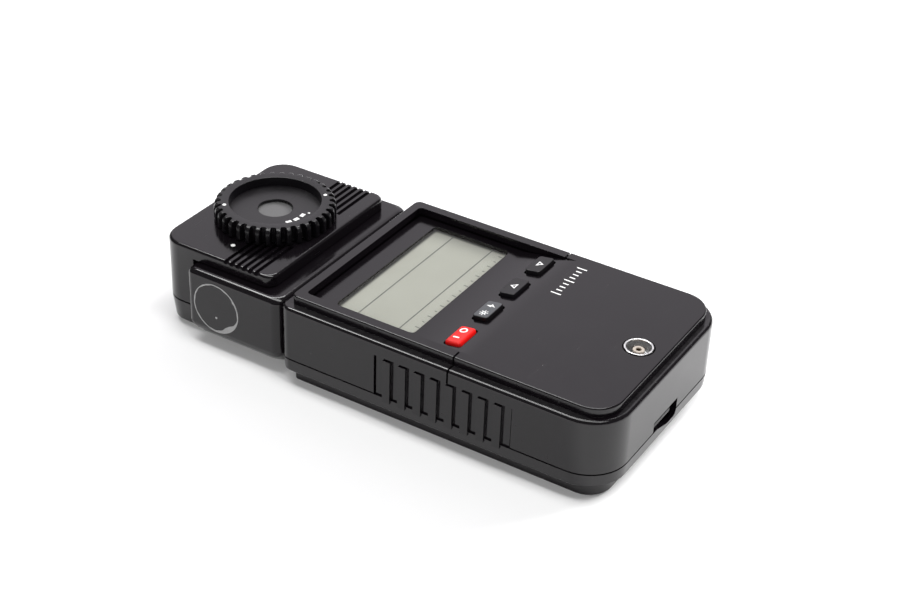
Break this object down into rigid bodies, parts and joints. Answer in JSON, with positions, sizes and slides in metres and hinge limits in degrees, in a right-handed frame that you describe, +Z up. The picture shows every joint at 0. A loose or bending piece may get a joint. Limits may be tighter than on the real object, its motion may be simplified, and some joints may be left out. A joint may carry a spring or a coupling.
{
  "type": "handheld light meter",
  "caption": "Handheld exposure meter lying on its back: a display body with keys and a sync socket, and a swivelling head with a turning receptor ring.",
  "frame": {"origin": "on the resting plane, under the middle of the whole object", "axes": "+X from the head to the foot, +Z up out of the display, +Y to the measuring button's side"},
  "size_m": [0.138, 0.0648, 0.0309],
  "materials": {
    "case_black": "satin moulded black",
    "key_black": "satin black",
    "key_red": "satin red",
    "key_grey": "satin mid grey",
    "window_clear": "clear polished",
    "lcd_grey": "grey-green reflective display",
    "board_green": "solder-masked board",
    "rubber_grey": "matt",
    "switch_black": "matt",
    "cell_jacket": "printed jacket",
    "spring_steel": "nickel plated",
    "socket_chrome": "bright plated",
    "insulator_cream": "natural moulded",
    "contact_brass": "plated",
    "cell_blue_glass": "photocell face",
    "filter_glass": "colour-correction glass",
    "baffle_black": "matt black",
    "disc_grey": "matt light grey",
    "wire_grey": "wire bundle"
  },
  "bodies": {
    "meter_body": {"display_housing": "case_black", "front_cover": "case_black", "rear_housing": "case_black", "display_window": "window_clear", "lcd_panel": "lcd_grey", "main_board": "board_green", "key_mat": "rubber_grey", "measure_switch": "switch_black", "selector_switch": "switch_black", "battery_cell": "cell_jacket", "battery_spring": "spring_steel", "battery_minus_plate": "spring_steel", "battery_plus_plate": "spring_steel", "sync_shell": "socket_chrome", "sync_insulator": "insulator_cream", "sync_contact": "contact_brass", "swivel_washer": "spring_steel", "wire_plug": "insulator_cream", "display_connector_1": "rubber_grey", "display_connector_2": "rubber_grey", "body_screw_1": "spring_steel", "body_screw_2": "spring_steel", "body_screw_3": "spring_steel", "body_screw_4": "spring_steel"},
    "swivel_head": {"head_front_shell": "case_black", "head_rear_shell": "case_black", "swivel_block": "case_black", "swivel_tube": "baffle_black", "swivel_clip": "spring_steel", "head_wires": "wire_grey", "sensor_board": "board_green", "photocell": "cell_blue_glass", "colour_filter": "filter_glass", "light_tube": "baffle_black", "head_screw_1": "spring_steel", "head_screw_2": "spring_steel", "bayonet_mount": "baffle_black"},
    "receptor": {"receptor_ring": "key_black", "receptor_disc": "disc_grey"},
    "battery_door": {"battery_door": "case_black"},
    "door_latch": {"door_latch": "key_black"},
    "measure_button": {"measure_button": "key_black"},
    "mode_switch": {"mode_switch": "key_black"},
    "key_power": {"key_power": "key_red"},
    "key_mode": {"key_mode": "key_grey"},
    "key_up": {"key_up": "key_black"},
    "key_down": {"key_down": "key_black"}
  },
  "joints": [
    {"name": "head_swivel", "type": "hinge", "parent": "meter_body", "child": "swivel_head", "pos_m": [-0.0256, 0, 0.013], "axis": [1, 0, 0], "range_deg": [-90, 180]},
    {"name": "receptor_turn", "type": "hinge", "parent": "swivel_head", "child": "receptor", "pos_m": [-0.0503, 0, 0.028], "axis": [0, 0, 1], "range_deg": [0, 44]},
    {"name": "key_power_press", "type": "slide", "parent": "meter_body", "child": "key_power", "axis": [0.154, 0, -0.9881], "range_m": [0, 0.0006], "stiffness_N_per_m": 1000, "springref_m": -0.0004},
    {"name": "key_mode_press", "type": "slide", "parent": "meter_body", "child": "key_mode", "axis": [0.154, 0, -0.9881], "range_m": [0, 0.0006], "stiffness_N_per_m": 1000, "springref_m": -0.0004},
    {"name": "key_up_press", "type": "slide", "parent": "meter_body", "child": "key_up", "axis": [0.154, 0, -0.9881], "range_m": [0, 0.0006], "stiffness_N_per_m": 1000, "springref_m": -0.0004},
    {"name": "key_down_press", "type": "slide", "parent": "meter_body", "child": "key_down", "axis": [0.154, 0, -0.9881], "range_m": [0, 0.0006], "stiffness_N_per_m": 1000, "springref_m": -0.0004},
    {"name": "measure_press", "type": "slide", "parent": "meter_body", "child": "measure_button", "axis": [0, -1, 0], "range_m": [0, 0.0008], "stiffness_N_per_m": 1000, "springref_m": -0.0005},
    {"name": "mode_slide", "type": "slide", "parent": "meter_body", "child": "mode_switch", "axis": [1, 0, 0], "range_m": [0, 0.006]},
    {"name": "battery_door_open", "type": "hinge", "parent": "meter_body", "child": "battery_door", "pos_m": [0.0394, 0, 0.00135], "axis": [0, 1, 0], "range_deg": [0, 75]},
    {"name": "door_latch_slide", "type": "slide", "parent": "meter_body", "child": "door_latch", "axis": [0, 1, 0], "range_m": [0, 0.0034]}
  ]
}
